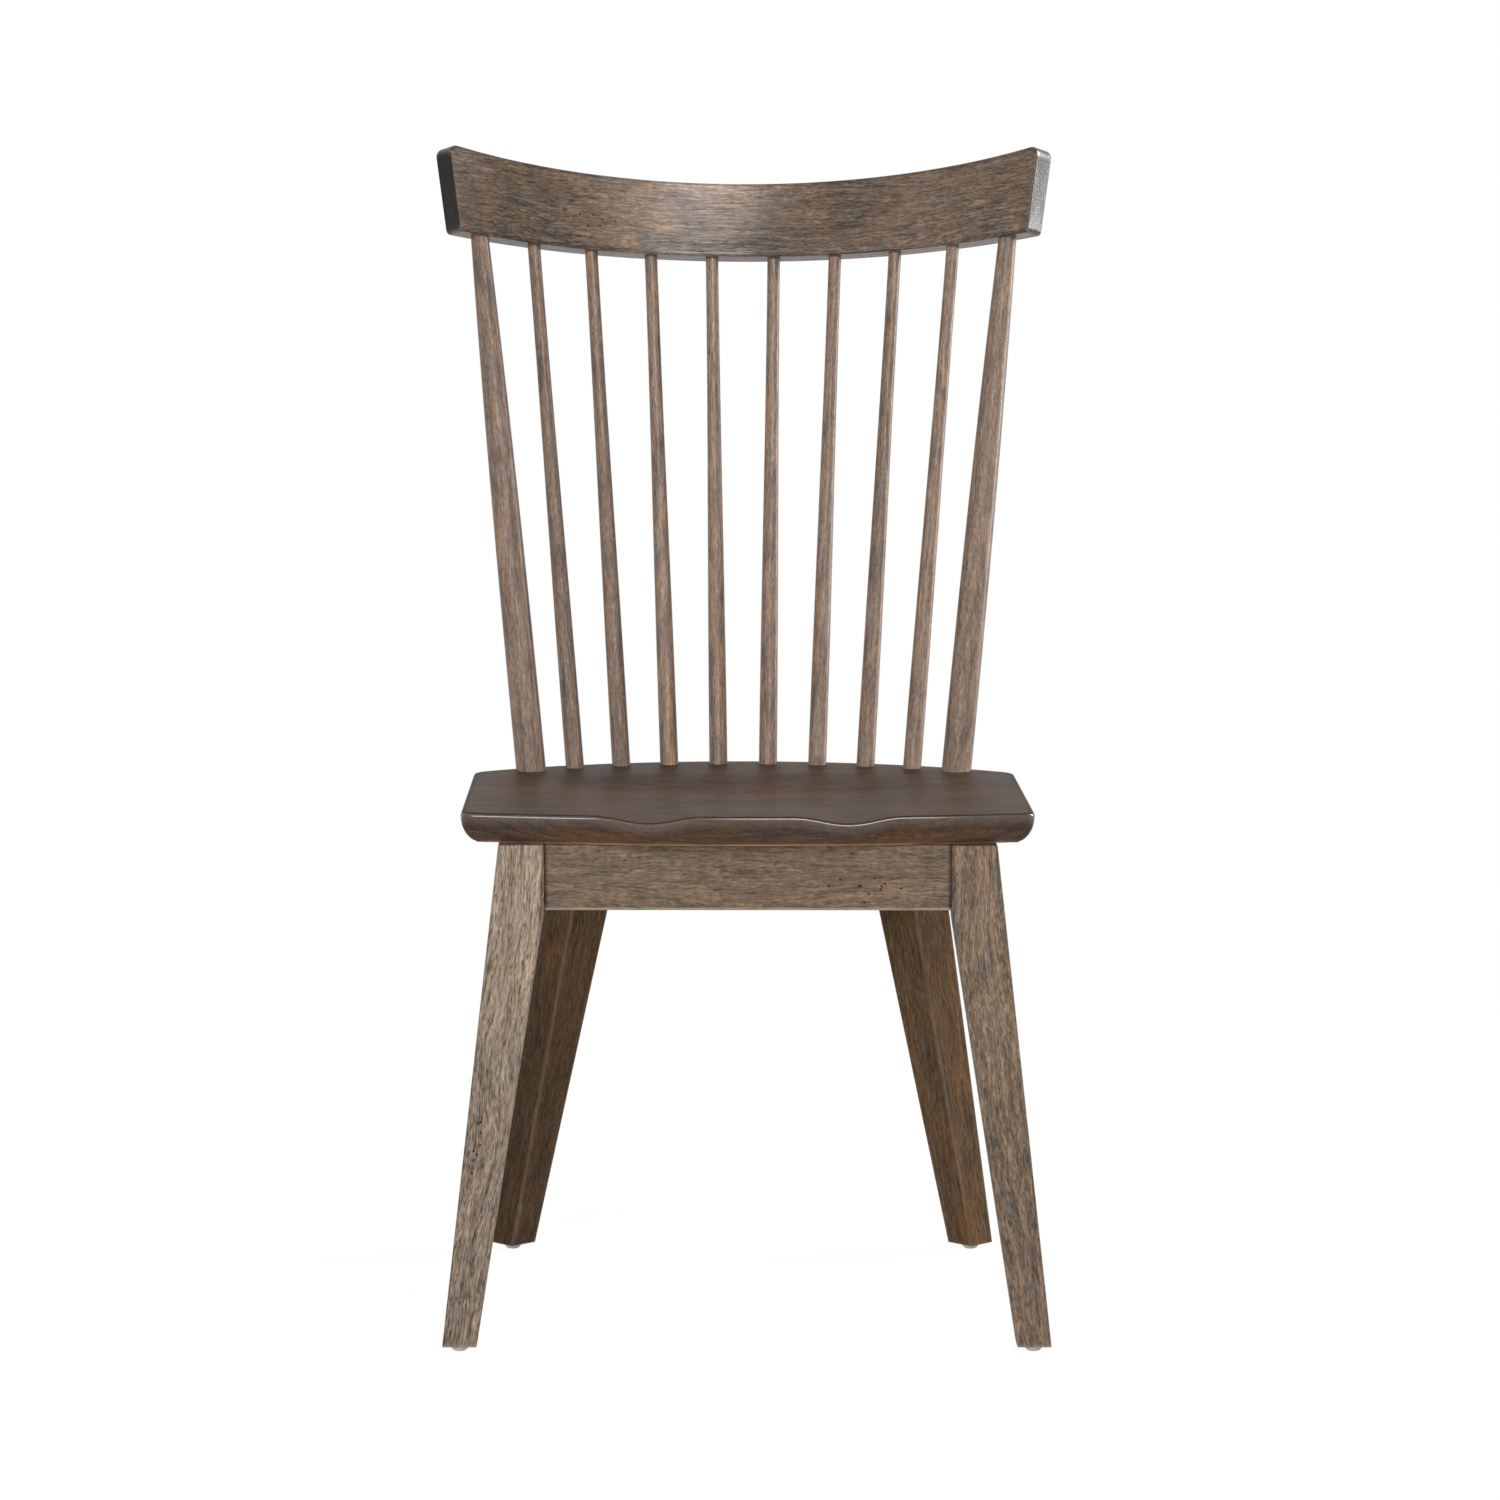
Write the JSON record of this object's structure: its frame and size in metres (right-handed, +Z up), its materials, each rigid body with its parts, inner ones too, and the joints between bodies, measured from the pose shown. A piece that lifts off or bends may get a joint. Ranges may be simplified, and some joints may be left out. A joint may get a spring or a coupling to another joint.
{
  "type": "spindle back dining chair",
  "caption": "Armless wooden dining chair: saddled seat, four splayed legs joined by aprons, and a leaning back of round posts and spindles under a bent crest rail.",
  "frame": {"origin": "on the floor, under the middle of the whole chair's bounding box", "axes": "+Z up, the chair faces -Y, +X to the right of someone who looks at its front; left and right in node names are as seen from the front"},
  "size_m": [0.5764, 0.5938, 1.0412],
  "materials": {
    "seat_wood": "dark grey-brown stained hardwood under satin lacquer",
    "frame_wood": "weathered grey-brown stained hardwood, open grained, low sheen",
    "block_wood": "bare light hardwood",
    "zinc_steel": "bright zinc plated",
    "pale_nylon": "moulded, satin"
  },
  "bodies": {
    "root": {"seat": "seat_wood", "crest_rail": "frame_wood", "back_post_left": "frame_wood", "back_post_right": "frame_wood", "spindle_1": "frame_wood", "spindle_2": "frame_wood", "spindle_3": "frame_wood", "spindle_4": "frame_wood", "spindle_5": "frame_wood", "spindle_6": "frame_wood", "spindle_7": "frame_wood", "spindle_8": "frame_wood", "front_leg_left": "frame_wood", "front_leg_right": "frame_wood", "rear_leg_left": "frame_wood", "rear_leg_right": "frame_wood", "front_apron": "frame_wood", "rear_apron": "frame_wood", "side_apron_left": "frame_wood", "side_apron_right": "frame_wood", "front_corner_block_left": "block_wood", "front_corner_block_right": "block_wood", "rear_corner_block_left": "block_wood", "rear_corner_block_right": "block_wood", "front_hanger_bolt_left": "zinc_steel", "front_hanger_bolt_right": "zinc_steel", "rear_hanger_bolt_left": "zinc_steel", "rear_hanger_bolt_right": "zinc_steel", "front_washer_left": "zinc_steel", "front_washer_right": "zinc_steel", "rear_washer_left": "zinc_steel", "rear_washer_right": "zinc_steel", "front_nut_left": "zinc_steel", "front_nut_right": "zinc_steel", "rear_nut_left": "zinc_steel", "rear_nut_right": "zinc_steel", "front_block_screw_1_left": "zinc_steel", "front_block_screw_1_right": "zinc_steel", "front_block_screw_2_left": "zinc_steel", "front_block_screw_2_right": "zinc_steel", "rear_block_screw_1_left": "zinc_steel", "rear_block_screw_1_right": "zinc_steel", "rear_block_screw_2_left": "zinc_steel", "rear_block_screw_2_right": "zinc_steel", "front_seat_screw_left": "zinc_steel", "front_seat_screw_right": "zinc_steel", "rear_seat_screw_left": "zinc_steel", "rear_seat_screw_right": "zinc_steel", "front_glide_left": "pale_nylon", "front_glide_right": "pale_nylon", "rear_glide_left": "pale_nylon", "rear_glide_right": "pale_nylon", "front_glide_nail_left": "zinc_steel", "front_glide_nail_right": "zinc_steel", "rear_glide_nail_left": "zinc_steel", "rear_glide_nail_right": "zinc_steel"}
  },
  "joints": []
}
